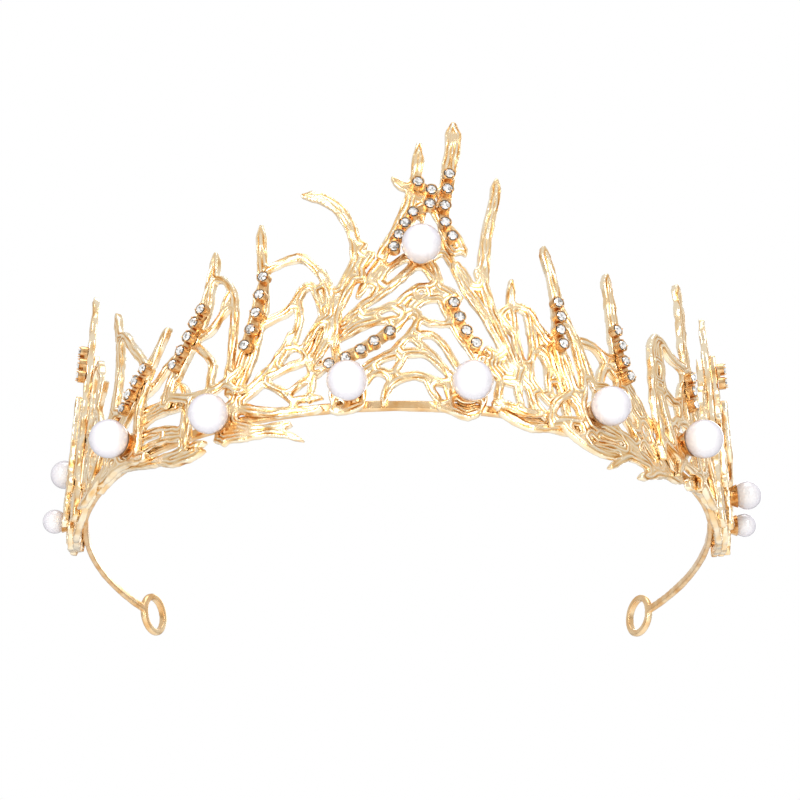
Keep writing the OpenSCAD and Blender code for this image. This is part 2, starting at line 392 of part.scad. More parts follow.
RIGHT_SIDE_SPRAY = [
  [4, 2.2, [[93, 0], [95, 10], [96.6, 20], [97, 29], [97, 37], [96.8, 43], [96.2, 48.5]]],
  [2.2, 1.9, [[99, 0], [103, 5], [107, 7.4], [112, 8.4]]],
  [2.4, 2, [[112, 0], [109, 8], [106, 14], [103.6, 20], [100.6, 27]]],
  [2, 1.7, [[95, 5], [99, 9], [104, 12], [110, 17]]],
  [2, 1.8, [[95.6, 13], [100, 17.6], [105.6, 20.6]]],
  [2.6, 2.2, [[112.6, 1], [107, -0.4], [101, 0.6]]]
];
RIGHT_SIDE_CURL = [
  [2.2, 1.8, [[97, 25], [98.6, 31], [98.6, 36], [97.6, 40]]],
  [2.6, 2.2, [[95, 9], [99, 15], [101, 21], [101.4, 26], [98.4, 31]]],
  [2.2, 1.9, [[110.8, 1.6], [108, 9], [105, 16], [102.6, 22]]],
  [2.2, 1.9, [[100.6, 1.6], [103, 6], [105, 10.6]]],
  [2.4, 2, [[112.6, 0.6], [110.8, 5], [110.6, 7.6]]]
];
RIGHT_SIDE_KNOT = [
  [2, 2.4, [[112.6, 8.8], [111, 12], [107.4, 15.2], [103.6, 18], [101.6, 22], [101.2, 26],
    [99.2, 29.4]]],
  [1.9, 1.6, [[104, 17.6], [104.4, 21], [103, 24.6]]]
];

// ---- places on the crown wall ----
function turn(s) = s / wall_r * 180 / PI;
function wall_radius(h, d) = wall_r - h * rise * sin(lean) + d * cos(lean);
function wall_height(h, d) = h * rise * cos(lean) + d * sin(lean);
// the object's box is centred on the origin and its lowest twig tip is on z = 0
function side_reach(q) =
  wall_radius(q[1], q[2] + glue_gap + cup_floor + q[3] / 2) * abs(sin(turn(q[0]))) + q[3] / 2;
left_reach = max(side_reach(SIDE_PEARLS[0]), side_reach(SIDE_PEARLS[1]));
right_reach = max(side_reach(SIDE_PEARLS[2]), side_reach(SIDE_PEARLS[3]));
front_reach = (wall_r + pearl_off) * cos(turn(10)) + pearl_d / 2;
back_reach = ring_mid[1] + ring_r * sin(ring_turn) + ring_t / 2 * abs(cos(ring_turn));
lowest_tip = 6.34;
mid = [(left_reach - right_reach) / 2, (front_reach - back_reach) / 2, lowest_tip * rise];
// local +Z points out of the wall, +X along it and +Y up it
module at_wall(s, h, d) {
  translate(mid) rotate([0, 0, turn(s)])
    translate([0, -wall_radius(h, d), wall_height(h, d)])
      rotate([90 - lean, 0, 0]) children();
}
// the part of the leaning wall between two arc lengths and two depths
module wall_shell(s0, s1, d0, d1) {
  low = -10;
  high = full_h + 4;
  translate(mid) rotate([0, 0, turn(s0) - 90])
    rotate_extrude(angle = turn(s1 - s0), $fn = 120)
      polygon([
        [wall_radius(low, d0), wall_height(low, d0)], [wall_radius(low, d1), wall_height(low, d1)],
        [wall_radius(high, d1), wall_height(high, d1)], [wall_radius(high, d0), wall_height(high, d0)]
      ]);
}

// ---- twigs, drawn as strokes on a plane square to the casting's middle ----
function flat_place(p, middle, d) = [wall_radius(p[1], d) * sin(turn(p[0] - middle)), wall_height(p[1], d)];
// a smooth curve through the route's points, with one more point in each stretch
function between(a, b, c, d) = (-a + 9 * b + 9 * c - d) / 16;
function smooth(r) = let (n = len(r)) [
  for (i = [0:n - 2])
    each [r[i], between(r[max(i - 1, 0)], r[i], r[i + 1], r[min(i + 2, n - 1)])],
  r[n - 1]
];
function unit(v) = v / norm(v);
function along(r, i) = unit(r[min(i + 1, len(r) - 1)] - r[max(i - 1, 0)]);
function across(r, i) = let (a = along(r, i)) [-a[1], a[0]];
// a point of the round end at r[i], turned by a from the twig's own direction
function round_end(r, i, w, a) = r[i] + w * (cos(a) * along(r, i) - sin(a) * across(r, i));
module stroke(t, middle, d) {
  r = smooth([for (p = t[2]) flat_place(p, middle, d)]);
  n = len(r);
  half = [for (i = [0:n - 1]) (t[0] + (t[1] - t[0]) * i / (n - 1)) / 2 * (i < n - 1 ? 1 : tip_share)];
  polygon(concat(
    [for (a = [-40, 40]) round_end(r, 0, -half[0], a)],
    [for (i = [0:n - 1]) r[i] + across(r, i) * half[i]],
    [for (a = [-50, 0, 50]) round_end(r, n - 1, half[n - 1], a)],
    [for (i = [n - 1:-1:0]) r[i] - across(r, i) * half[i]]
  ));
}
// one layer of a casting: the strokes with webbed forks, bent into the wall;
// a disc is [s, h, radius], the seat under a pearl's cup
module layer(table, d, discs = []) {
  reach = [for (t = table) each [for (p = t[2]) p[0]]];
  s0 = min(reach) - 3;
  s1 = max(reach) + 3;
  middle = (s0 + s1) / 2;
  intersection() {
    translate(mid) rotate([0, 0, turn(middle)]) rotate([90, 0, 0])
      translate([0, 0, wall_r * 0.6]) linear_extrude(wall_r * 0.6)
        offset(delta = -web_w / 2, chamfer = true) offset(delta = web_w / 2) {
          for (t = table) stroke(t, middle, d + cast_t / 2);
          for (c = discs) translate(flat_place(c, middle, d + cast_t / 2)) circle(r = c[2], $fn = 20);
        }
    wall_shell(s0, s1, d, d + cast_t - braze_gap);
  }
}

// ---- the base rail and the arms ----
// a rectangle with round corners, t wide and w high, from arcs and straights
module bar_section(w, t, round) {
  for (x = [-1, 1], y = [-1, 1])
    translate([x * (t / 2 - round), y * (w / 2 - round)]) circle(r = round, $fn = 24);
  square([t - 2 * round, w], center = true);
  square([t, w - 2 * round], center = true);
}
// an arc between two angles from the front, about a point [x, y] from the crown's
// centre, with a section that is thicker than the arm's on each face by more
module arc_bar(about, a0, a1, r, more) {
  translate(mid + [about[0], about[1], arm_z]) rotate([0, 0, a0 - 90])
    rotate_extrude(angle = a1 - a0, $fn = 180)
      translate([r, 0]) bar_section(arm_w + 2 * more, arm_t + 2 * more, 0.4);
}
// the rail leans with the wall, so that the castings lie flat against it
module base_rail() color(rail_gold)
  translate(mid) rotate([0, 0, turn(-rail_half) - 90])
    rotate_extrude(angle = turn(2 * rail_half), $fn = 180)
      polygon([
        for (c = [[rail_h0, rail_t], [rail_h0, 0], [rail_h0 + rail_w, 0], [rail_h0 + rail_w, rail_t]])
          let (d = BACK - braze_gap - c[1])
          [wall_radius(c[0], d), wall_height(c[0], d)]
      ]);
module ring_place() {
  translate(mid + [ring_mid[0], ring_mid[1], arm_z]) rotate([90, 0, ring_turn]) children();
}
module ring_blank() {
  edge = 0.35;
  ring_place() rotate_extrude()
    difference() {
      translate([ring_r - ring_band - 0.5, -ring_t / 2]) square([ring_band + 0.5, ring_t]);
      for (z = [-1, 1])
        translate([ring_r, z * ring_t / 2]) rotate(45) square(edge * sqrt(2), center = true);
    }
}
// an arm carries the rail's line on behind the side castings, to its ring
module arm() {
  arm_end = ring_turn - (ring_bore + ring_band) / 2 / arm_bend_r * 180 / PI;
  rooted = 1;
  difference() {
    union() {
      arc_bar([0, 0], turn(rail_half + braze_gap), arm_turn + rooted, arm_r, lap_step);
      arc_bar(arm_mid, arm_turn, arm_end, arm_bend_r, 0);
      ring_blank();
    }
    ring_place() cylinder(d = ring_bore, h = 4 * ring_t, center = true);
  }
}
module right_arm() color(rail_gold) arm();
module left_arm() color(rail_gold) translate([2 * mid[0], 0, 0]) mirror([1, 0, 0]) arm();

// ---- pearls on pegs, in cups ----
module pearl(s, h, d, size) {
  color(pearl_white) at_wall(s, h, d + glue_gap) difference() {
    translate([0, 0, cup_floor + size / 2]) sphere(d = size);
    translate([0, 0, -1]) cylinder(d = peg_d + 2 * glue_gap, h = cup_floor + size * 0.6 + 1);
  }
}
module main_pearl(p) pearl(p[0], p[1], p[2], pearl_d);
module side_pearl(q) pearl(q[0], q[1], q[2], q[3]);
// radius of a cup that rises cup_rim above its floor around a pearl
function cup_radius(size) = sqrt(pow(size / 2, 2) - pow(size / 2 - cup_rim, 2)) + cup_wall;
module pearl_cup(s, h, d, size) {
  at_wall(s, h, d) {
    difference() {
      cylinder(r1 = cup_radius(size) - 0.6, r2 = cup_radius(size), h = cup_floor + cup_rim);
      translate([0, 0, cup_floor + size / 2 + glue_gap]) sphere(d = size + 2 * glue_gap);
    }
    cylinder(d = peg_d, h = cup_floor + size * 0.6 - 0.3);
  }
}
// radius that clears the cup and the pearl, in a face that stands z over the cup's underside
pocket_gap = 0.3;
function pearl_slice(size, z) =
  sqrt(max(0, pow(size / 2, 2) - pow(max(0, cup_floor + size / 2 - z), 2)));
function pocket_radius(size, z) = pocket_gap + max(cup_radius(size), pearl_slice(size, z));
module pocket(q, size, face) {
  at_wall(q[0], q[1], q[2] - braze_gap)
    cylinder(r = pocket_radius(size, face - q[2]), h = cup_floor + size / 2);
}
module main_pearl_cups() color(cup_gold) for (p = MAIN_PEARLS) pearl_cup(p[0], p[1], p[2], pearl_d);
module side_pearl_cups() color(cup_gold) for (q = SIDE_PEARLS) pearl_cup(q[0], q[1], q[2], q[3]);

// ---- stones and their settings ----
girdle_t = 0.15;
crown_t = 0.4;
pavilion_t = 0.85;
module stone(s, h, d) {
  at_wall(s, h, d + strip_t + bezel_h - girdle_t) {
    cylinder(d = stone_d, h = girdle_t);
    translate([0, 0, girdle_t]) cylinder(d1 = stone_d, d2 = stone_d * 0.56, h = crown_t);
    translate([0, 0, -pavilion_t]) cylinder(d1 = 0.3, d2 = stone_d, h = pavilion_t);
  }
}
module stones(row, d) color(stone_clear) for (p = row) stone(p[0], p[1], d);
// the strip lies flat from one cup to the next
module strip_link(a, b, d) {
  m = (a + b) / 2;
  run = b - a;
  at_wall(m[0], m[1], d) rotate([0, 0, atan2(run[1] * rise, run[0])])
    translate([-norm([run[0], run[1] * rise]) / 2, -strip_w / 2, 0])
      cube([norm([run[0], run[1] * rise]), strip_w, strip_t]);
}
module setting(row, d) {
  top = strip_t + bezel_h;
  color(cup_gold) difference() {
    union() {
      for (p = row) at_wall(p[0], p[1], d) cylinder(d = stone_d + 2 * (stone_gap + bezel_wall), h = top);
      for (i = [0:len(row) - 2]) strip_link(row[i], row[i + 1], d);
    }
    for (p = row) at_wall(p[0], p[1], d) {
      translate([0, 0, top - girdle_t - stone_gap]) cylinder(d = stone_d + 2 * stone_gap, h = 1);
      translate([0, 0, top - girdle_t - stone_gap - pavilion_t])
        cylinder(d1 = 0.3 + 2 * stone_gap, d2 = stone_d + 2 * stone_gap, h = pavilion_t);
    }
  }
}

// ---- the cast branches ----
// one layer with the pockets that its pearls stand in
module pocketed(table, d, discs, cups, size) {
  difference() {
    layer(table, d, discs);
    for (q = cups) pocket(q, size, d + cast_t);
  }
}
module left_side_lattice() color(gold) layer(LEFT_SIDE_LATTICE, BACK, [[-108, 16, 2.6]]);
module left_side_spray() color(gold)
  pocketed(LEFT_SIDE_SPRAY, FRONT, [[-107, 4.4, 2.4]], [SIDE_PEARLS[0]], side_pearl_d);
module left_side_curl() color(gold) difference() {
  pocketed(LEFT_SIDE_CURL, OUTER, [], [SIDE_PEARLS[0]], side_pearl_d);
  pocket(SIDE_PEARLS[1], end_pearl_d, THIRD);
}
module left_outer_branch() color(gold)
  pocketed(LEFT_OUTER, FRONT, [[-62.6, 3.7, 2.9]], [MAIN_PEARLS[3]], pearl_d);
module left_fork_branch() color(gold) layer(LEFT_FORK, BACK);
module left_blade_branch() color(gold)
  pocketed(LEFT_BLADE, FRONT, [], [MAIN_PEARLS[2]], pearl_d);
module left_arch_branch() color(gold) layer(LEFT_ARCH, BACK, [[-37, 1.2, 2.6]]);
module left_curl_branch() color(gold) layer(LEFT_CURL, FRONT);
module centre_branch() color(gold)
  layer(CENTRE, BACK, [[4.1, 34.8, 2.6], [-9.7, 4, 2.6], [13.4, 4.4, 2.6]]);
module centre_spires() color(gold)
  pocketed(CENTRE_SPIRES, FRONT, [], [MAIN_PEARLS[0]], pearl_d);
module right_spike_branch() color(gold)
  pocketed(RIGHT_SPIKE, FRONT, [], [MAIN_PEARLS[4]], pearl_d);
module right_fan_branch() color(gold) layer(RIGHT_FAN, BACK);
module right_blade_branch() color(gold)
  pocketed(RIGHT_BLADE, FRONT, [], [MAIN_PEARLS[5]], pearl_d);
module right_fork_branch() color(gold) layer(RIGHT_FORK, BACK, [[41.8, 4.5, 2.6]]);
module right_outer_branch() color(gold)
  pocketed(RIGHT_OUTER, FRONT, [[68.6, 6.5, 2.9]], [MAIN_PEARLS[6]], pearl_d);
module right_side_lattice() color(gold) layer(RIGHT_SIDE_LATTICE, BACK);
module right_side_spray() color(gold)
  layer(RIGHT_SIDE_SPRAY, FRONT, [[104.6, 9.8, 2.4], [110.6, 5.6, 2]]);
module right_side_curl() color(gold)
  layer(RIGHT_SIDE_CURL, OUTER, [[104.6, 9.8, 2.6], [110.6, 5.6, 2.3]]);
module right_side_knot() color(gold) difference() {
  pocketed(RIGHT_SIDE_KNOT, THIRD, [], [SIDE_PEARLS[2]], side_pearl_d);
  pocket(SIDE_PEARLS[3], end_pearl_d, THIRD + cast_t);
}

base_rail();
left_arm();
right_arm();
left_side_lattice();
left_side_spray();
left_side_curl();
left_outer_branch();
left_fork_branch();
left_blade_branch();
left_arch_branch();
left_curl_branch();
centre_branch();
centre_spires();
right_spike_branch();
right_fan_branch();
right_blade_branch();
right_fork_branch();
right_outer_branch();
right_side_lattice();
right_side_spray();
right_side_curl();
right_side_knot();
main_pearl(MAIN_PEARLS[0]);  // pearl_top
main_pearl(MAIN_PEARLS[1]);  // pearl_left_1
main_pearl(MAIN_PEARLS[2]);  // pearl_left_2
main_pearl(MAIN_PEARLS[3]);  // pearl_left_3
main_pearl(MAIN_PEARLS[4]);  // pearl_right_1
main_pearl(MAIN_PEARLS[5]);  // pearl_right_2
main_pearl(MAIN_PEARLS[6]);  // pearl_right_3
side_pearl(SIDE_PEARLS[0]);  // pearl_left_side
side_pearl(SIDE_PEARLS[1]);  // pearl_left_end
side_pearl(SIDE_PEARLS[2]);  // pearl_right_side
side_pearl(SIDE_PEARLS[3]);  // pearl_right_end
main_pearl_cups();
side_pearl_cups();
setting(STONES_LEFT_SIDE, DEPTH_FRONT_ROW);  // setting_left_side
setting(STONES_LEFT_OUTER, DEPTH_FRONT_ROW);  // setting_left_outer
setting(STONES_LEFT_BLADE, DEPTH_FRONT_ROW);  // setting_left_blade
setting(STONES_LEFT_ARCH, DEPTH_BACK_ROW);  // setting_left_arch
setting(STONES_LOWER_FRONT, DEPTH_BACK_ROW);  // setting_lower_front
setting(STONES_LEFT_LEG, DEPTH_FRONT_ROW);  // setting_left_leg
setting(STONES_RIGHT_LEG, DEPTH_FRONT_ROW);  // setting_right_leg
setting(STONES_CENTRE_RIGHT, DEPTH_BACK_ROW);  // setting_centre_right
setting(STONES_RIGHT_BLADE, DEPTH_FRONT_ROW);  // setting_right_blade
setting(STONES_RIGHT_FORK, DEPTH_BACK_ROW);  // setting_right_fork
setting(STONES_RIGHT_OUTER, DEPTH_FRONT_ROW);  // setting_right_outer
setting(STONES_RIGHT_SIDE, DEPTH_SIDE_ROW);  // setting_right_side
stones(STONES_LEFT_SIDE, DEPTH_FRONT_ROW);  // stones_left_side
stones(STONES_LEFT_OUTER, DEPTH_FRONT_ROW);  // stones_left_outer
stones(STONES_LEFT_BLADE, DEPTH_FRONT_ROW);  // stones_left_blade
stones(STONES_LEFT_ARCH, DEPTH_BACK_ROW);  // stones_left_arch
stones(STONES_LOWER_FRONT, DEPTH_BACK_ROW);  // stones_lower_front
stones(STONES_LEFT_LEG, DEPTH_FRONT_ROW);  // stones_left_leg
stones(STONES_RIGHT_LEG, DEPTH_FRONT_ROW);  // stones_right_leg
stones(STONES_CENTRE_RIGHT, DEPTH_BACK_ROW);  // stones_centre_right
stones(STONES_RIGHT_BLADE, DEPTH_FRONT_ROW);  // stones_right_blade
stones(STONES_RIGHT_FORK, DEPTH_BACK_ROW);  // stones_right_fork
stones(STONES_RIGHT_OUTER, DEPTH_FRONT_ROW);  // stones_right_outer
stones(STONES_RIGHT_SIDE, DEPTH_SIDE_ROW);  // stones_right_side
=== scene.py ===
import math

import bmesh
import bpy
import numpy as np
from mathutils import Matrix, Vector
from mathutils.bvhtree import BVHTree


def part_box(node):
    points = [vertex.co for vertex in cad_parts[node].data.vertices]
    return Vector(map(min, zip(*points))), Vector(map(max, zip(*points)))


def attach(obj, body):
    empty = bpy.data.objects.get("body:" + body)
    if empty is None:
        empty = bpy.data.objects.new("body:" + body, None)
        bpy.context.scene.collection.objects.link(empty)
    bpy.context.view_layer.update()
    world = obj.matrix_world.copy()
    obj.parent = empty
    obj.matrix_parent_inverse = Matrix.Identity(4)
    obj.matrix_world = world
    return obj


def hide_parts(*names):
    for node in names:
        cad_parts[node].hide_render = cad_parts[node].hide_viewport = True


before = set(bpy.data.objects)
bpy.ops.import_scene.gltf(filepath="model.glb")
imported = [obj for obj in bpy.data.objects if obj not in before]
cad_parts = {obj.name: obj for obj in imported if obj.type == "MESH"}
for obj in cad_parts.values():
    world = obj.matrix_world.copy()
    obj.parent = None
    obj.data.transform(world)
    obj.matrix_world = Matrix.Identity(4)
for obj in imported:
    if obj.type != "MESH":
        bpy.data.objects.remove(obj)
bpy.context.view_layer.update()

# ---- The crown's wall ----
# The crown is bent round the head as part of a cone: it leans in by 3 degrees as it rises.
# Its middle comes from the base rail's box, and its lowest twig tip stands on z = 0.
LEAN = math.radians(3)
RAIL_HALF = 0.101
RAIL_FOOT = 0.0008
WALL_RADIUS = 0.0695
rail_low, rail_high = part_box("base_rail")
rail_turn = RAIL_HALF / WALL_RADIUS
rail_radius = (rail_high.x - rail_low.x) / 2 / math.sin(rail_turn)
crown_middle = np.array(
    [(rail_low.x + rail_high.x) / 2, rail_low.y + rail_radius, rail_low.z - RAIL_FOOT]
)


def outward(places):
    """The wall's own direction, out from the head, at each place."""
    flat = places[:, :2] - crown_middle[:2]
    flat = flat / np.linalg.norm(flat, axis=1, keepdims=True)
    return np.column_stack(
        [flat * math.cos(LEAN), np.full(len(places), math.sin(LEAN))]
    )


# ---- Camera, floor and light ----
# A long lens stands in front of the crown and looks up at it from below, so the back of the
# ring shows under the front. A pale floor lies below, in soft white light from all round.
VIEW_DISTANCE = 0.630
STAND_BELOW = math.radians(22.65)
LOOK_UP = math.radians(25.54)
STEP_LEFT = 0.0035
TOP_PEARL_AHEAD = 0.512
TURN_RIGHT = math.atan(STEP_LEFT / TOP_PEARL_AHEAD)
lens = bpy.data.cameras.new("camera")
lens.sensor_width = 36
lens.lens = 131.2
camera = bpy.data.objects.new("camera", lens)
camera.location = Vector(crown_middle) + VIEW_DISTANCE * Vector(
    (-STEP_LEFT / VIEW_DISTANCE, -math.cos(STAND_BELOW), -math.sin(STAND_BELOW))
)
camera.rotation_euler = (math.pi / 2 + LOOK_UP, 0, -TURN_RIGHT)
bpy.context.scene.collection.objects.link(camera)
bpy.context.scene.camera = camera
bpy.context.scene.view_settings.view_transform = "Standard"


def linear(code):
    """An sRGB hex colour as linear red, green, blue and alpha."""
    parts = [int(code[i : i + 2], 16) / 255 for i in (1, 3, 5)]
    return [
        p / 12.92 if p <= 0.04045 else ((p + 0.055) / 1.055) ** 2.4 for p in parts
    ] + [1]


def put(tree, kind, links=None, **settings):
    """Adds a node with its settings. links gives an input a value or another node's output."""
    made = tree.nodes.new(kind)
    for name, value in settings.items():
        setattr(made, name, value)
    for socket, value in (links or {}).items():
        if isinstance(value, bpy.types.NodeSocket):
            tree.links.new(value, made.inputs[socket])
        else:
            made.inputs[socket].default_value = value
    return made


def new_material(name):
    """A material with an empty tree and its tree."""
    made = bpy.data.materials.new(name)
    made.use_nodes = True
    made.node_tree.nodes.clear()
    return made, made.node_tree


# Matt painted board: pale and even, with the faint mottle of a roller
floor_paint, tree = new_material("matt_painted_board")
where = put(tree, "ShaderNodeTexCoord").outputs["Object"]
mottle = put(tree, "ShaderNodeTexNoise", {"Vector": where, "Scale": 60.0, "Detail": 3.0})
tone = put(tree, "ShaderNodeValToRGB", {"Fac": mottle.outputs["Fac"]})
tone.color_ramp.elements[0].color = linear("#F3F3F3")
tone.color_ramp.elements[1].color = linear("#FAFAFA")
paint = put(
    tree,
    "ShaderNodeBsdfPrincipled",
    {"Base Color": tone.outputs["Color"], "Roughness": 0.9},
)
put(tree, "ShaderNodeOutputMaterial", {"Surface": paint.outputs["BSDF"]})

FLOOR_DROP = 0.30
FLOOR_HALF = 6.0
floor_mesh = bpy.data.meshes.new("floor")
floor_corners = [
    (x * FLOOR_HALF, y * FLOOR_HALF, -FLOOR_DROP)
    for x, y in ((-1, -1), (1, -1), (1, 1), (-1, 1))
]
floor_mesh.from_pydata(floor_corners, [], [(0, 1, 2, 3)])
floor_mesh.materials.append(floor_paint)
floor = bpy.data.objects.new("floor", floor_mesh)
bpy.context.scene.collection.objects.link(floor)

# The room is white to the eye; what the metal mirrors is bright overhead and dimmer low down
world = bpy.data.worlds.new("white_room")
bpy.context.scene.world = world
world.use_nodes = True
tree = world.node_tree
tree.nodes.clear()
sky = put(tree, "ShaderNodeTexCoord").outputs["Generated"]
height = put(tree, "ShaderNodeSeparateXYZ", {"Vector": sky})
fall = put(tree, "ShaderNodeValToRGB")
tree.links.new(
    put(
        tree,
        "ShaderNodeMapRange",
        {"Value": height.outputs["Z"], "From Min": -1.0, "From Max": 1.0},
    ).outputs["Result"],
    fall.inputs["Fac"],
)
fall.color_ramp.elements[0].position = 0.1
fall.color_ramp.elements[0].color = (0.60, 0.59, 0.57, 1)
fall.color_ramp.elements[1].position = 0.62
fall.color_ramp.elements[1].color = (1, 1, 1, 1)
dim = fall.color_ramp.elements.new(0.36)
dim.color = (0.16, 0.155, 0.15, 1)
room = put(
    tree, "ShaderNodeBackground", {"Color": fall.outputs["Color"], "Strength": 0.80}
)
backdrop = put(tree, "ShaderNodeBackground", {"Color": (1, 1, 1, 1), "Strength": 1.0})
seen = put(tree, "ShaderNodeLightPath").outputs["Is Camera Ray"]
both = put(
    tree,
    "ShaderNodeMixShader",
    {0: seen, 1: room.outputs["Background"], 2: backdrop.outputs["Background"]},
)
put(tree, "ShaderNodeOutputWorld", {"Surface": both.outputs["Shader"]})

# Tall soft boxes stand left and right of the lens with a gap between, one hangs over the
# crown, and one stands behind it
for name, place, wide, high, power in (
    ("soft_box_left", (-0.40, -0.60, 0.10), 0.18, 0.55, 2.4),
    ("soft_box_right", (0.36, -0.62, 0.12), 0.16, 0.55, 1.9),
    ("soft_box_over", (0.05, -0.15, 0.75), 0.50, 0.50, 1.8),
    ("soft_box_behind", (0.30, 0.70, 0.45), 0.45, 0.45, 1.4),
):
    box_light = bpy.data.lights.new(name, "AREA")
    box_light.shape = "RECTANGLE"
    box_light.size = wide
    box_light.size_y = high
    box_light.energy = power
    lamp = bpy.data.objects.new(name, box_light)
    lamp.location = place
    aim = Vector(crown_middle) + Vector((0, 0, 0.03)) - lamp.location
    lamp.rotation_euler = aim.to_track_quat("-Z", "Y").to_euler()
    bpy.context.scene.collection.objects.link(lamp)

# ---- Cast branches ----
# The twigs are spun-cast in zinc alloy, one flat branch at a time, then bent to the crown,
# brazed on the rail and on each other, and plated in light gold over bright polish.
# Each twig is rounded and has two or three strands along it, as twisted bark has.
VOXEL = 0.00021
ROUNDING_PASSES = 9
SKIN = 0.00004
STRAND_PITCH = 0.00086
STRAND_DEPTH = 0.00011
STRAND_DRIFT = 1.5
STRAND_DRIFT_LENGTH = 0.006
FADE_LENGTH = 0.004
LUMP_HEIGHT = 0.00008
LUMP_LENGTH = 0.0045
SIDE_LIMIT = 0.6
TWIG_NODES = [
    name
    for name in sorted(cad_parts)
    if name.endswith(("_branch", "_spires", "_lattice", "_spray", "_curl", "_knot"))
]


def merged_copy(node, name):
    """A copy of a CAD node's mesh with its loose triangles joined."""
    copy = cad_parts[node].data.copy()
    copy.name = name
    copy.materials.clear()
    sewing = bmesh.new()
    sewing.from_mesh(copy)
    bmesh.ops.remove_doubles(sewing, verts=sewing.verts, dist=1e-6)
    sewing.to_mesh(copy)
    sewing.free()
    made = bpy.data.objects.new(name, copy)
    bpy.context.scene.collection.objects.link(made)
    return made


def settle(made):
    """Turns an object with modifiers into a plain mesh without them."""
    bpy.context.view_layer.update()
    ready = made.evaluated_get(bpy.context.evaluated_depsgraph_get())
    plain = bpy.data.meshes.new_from_object(ready)
    made.modifiers.clear()
    old = made.data
    made.data = plain
    bpy.data.meshes.remove(old)
    plain.name = made.name
    return made


def rounded(node, name, voxel, passes):
    """A CAD node's solid with every edge worn round, as one even skin."""
    made = merged_copy(node, name)
    skin = made.modifiers.new("skin", "REMESH")
    skin.mode = "VOXEL"
    skin.voxel_size = voxel
    wear = made.modifiers.new("wear", "SMOOTH")
    wear.factor = 0.5
    wear.iterations = passes
    return settle(made)


def points_of(mesh):
    flat = np.empty(len(mesh.vertices) * 3)
    mesh.vertices.foreach_get("co", flat)
    return flat.reshape(-1, 3)


def normals_of(mesh):
    flat = np.empty(len(mesh.vertices) * 3, np.float32)
    mesh.vertex_normals.foreach_get("vector", flat)
    return flat.reshape(-1, 3).astype(float)


def store(mesh, name, values):
    mesh.attributes.new(name, "FLOAT", "POINT").data.foreach_set(
        "value", np.asarray(values, np.float32)
    )


def swell(places, seed, length, count=7):
    """Smooth waves between about -1 and 1, the same for the same seed; length is a wave's."""
    dice = np.random.default_rng(seed)
    total = np.zeros(len(places))
    for _ in range(count):
        way = dice.normal(size=3)
        way *= dice.uniform(0.7, 1.4) * 2 * math.pi / length / np.linalg.norm(way)
        total += np.sin(places @ way + dice.uniform(0, 2 * math.pi))
    return total / math.sqrt(count)


def depth_from_sides(node, places):
    """How far each place is from the cut sides of the branch, which run through the wall."""
    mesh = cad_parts[node].data
    corners = points_of(mesh)
    mesh.calc_loop_triangles()
    tris = np.array([t.vertices[:] for t in mesh.loop_triangles])
    a, b, c = (corners[tris[:, i]] for i in range(3))
    cross = np.cross(b - a, c - a)
    size = np.linalg.norm(cross, axis=1)
    facing = np.abs(
        (cross / np.maximum(size, 1e-15)[:, None] * outward((a + b + c) / 3)).sum(1)
    )
    sides = tris[(facing < SIDE_LIMIT) & (size > 1e-14)]
    finder = BVHTree.FromPolygons(
        [Vector(v) for v in corners], [tuple(int(i) for i in t) for t in sides]
    )
    return np.array([finder.find_nearest(Vector(p))[3] for p in places])


# Gold plate on a bright cast skin, mirror bright all over: a painted highlight in pale
# champagne yellow on the strand ridges, painted shade in warm orange-brown in the grooves
# between strands
twig_gold, tree = new_material("gold_plated_cast_zinc")
where = put(tree, "ShaderNodeTexCoord").outputs["Object"]
# painted light: 1 on the strand ridges (painted highlight), 0 in the grooves between them
# (painted shade)
ridge_light_groove_shade = put(tree, "ShaderNodeAttribute", attribute_name="ridge_light_groove_shade").outputs["Fac"]
across = put(tree, "ShaderNodeAttribute", attribute_name="across_mm").outputs["Fac"]
# tarnish patches about 2.5 mm across
patch = put(tree, "ShaderNodeTexNoise", {"Vector": where, "Scale": 400.0, "Detail": 4.0})
# bark lines about 0.25 mm apart, which follow the twig for some 5 mm
along = put(
    tree, "ShaderNodeVectorMath", {0: where, 1: (220.0, 220.0, 220.0)}, operation="MULTIPLY"
)
apart = put(tree, "ShaderNodeMath", {0: across, 1: 4.0}, operation="MULTIPLY")
bark = put(
    tree,
    "ShaderNodeTexNoise",
    {"Vector": along.outputs[0], "W": apart.outputs[0], "Scale": 1.0, "Detail": 3.0},
    noise_dimensions="4D",
)
tarnish_bark_and_groove_shade = put(
    tree,
    "ShaderNodeMath",
    {0: bark.outputs["Fac"], 1: 0.9, 2: ridge_light_groove_shade},
    operation="MULTIPLY_ADD",
)
tarnish_bark_and_groove_shade = put(
    tree,
    "ShaderNodeMath",
    {0: patch.outputs["Fac"], 1: 0.35, 2: tarnish_bark_and_groove_shade.outputs[0]},
    operation="MULTIPLY_ADD",
)
plate_tone_and_shade = put(
    tree,
    "ShaderNodeMapRange",
    {"Value": tarnish_bark_and_groove_shade.outputs[0], "From Min": 0.42, "From Max": 1.42},
)
# the ramp turns the ridge value into painted shade (orange-brown) and painted highlight (near
# white)
plate = put(tree, "ShaderNodeValToRGB", {"Fac": plate_tone_and_shade.outputs["Result"]})
plate.color_ramp.elements.remove(plate.color_ramp.elements[1])
plate.color_ramp.elements[0].color = linear("#8A4E16")
for place, code in ((0.25, "#DA984A"), (0.55, "#F2CC94"), (1.0, "#FDECCE")):
    plate.color_ramp.elements.new(place).color = linear(code)
gloss = put(
    tree,
    "ShaderNodeMapRange",
    {"Value": plate_tone_and_shade.outputs["Result"], "To Min": 0.34, "To Max": 0.13},
)
lines = put(
    tree,
    "ShaderNodeBump",
    {"Height": bark.outputs["Fac"], "Strength": 0.75, "Distance": 0.00016},
)
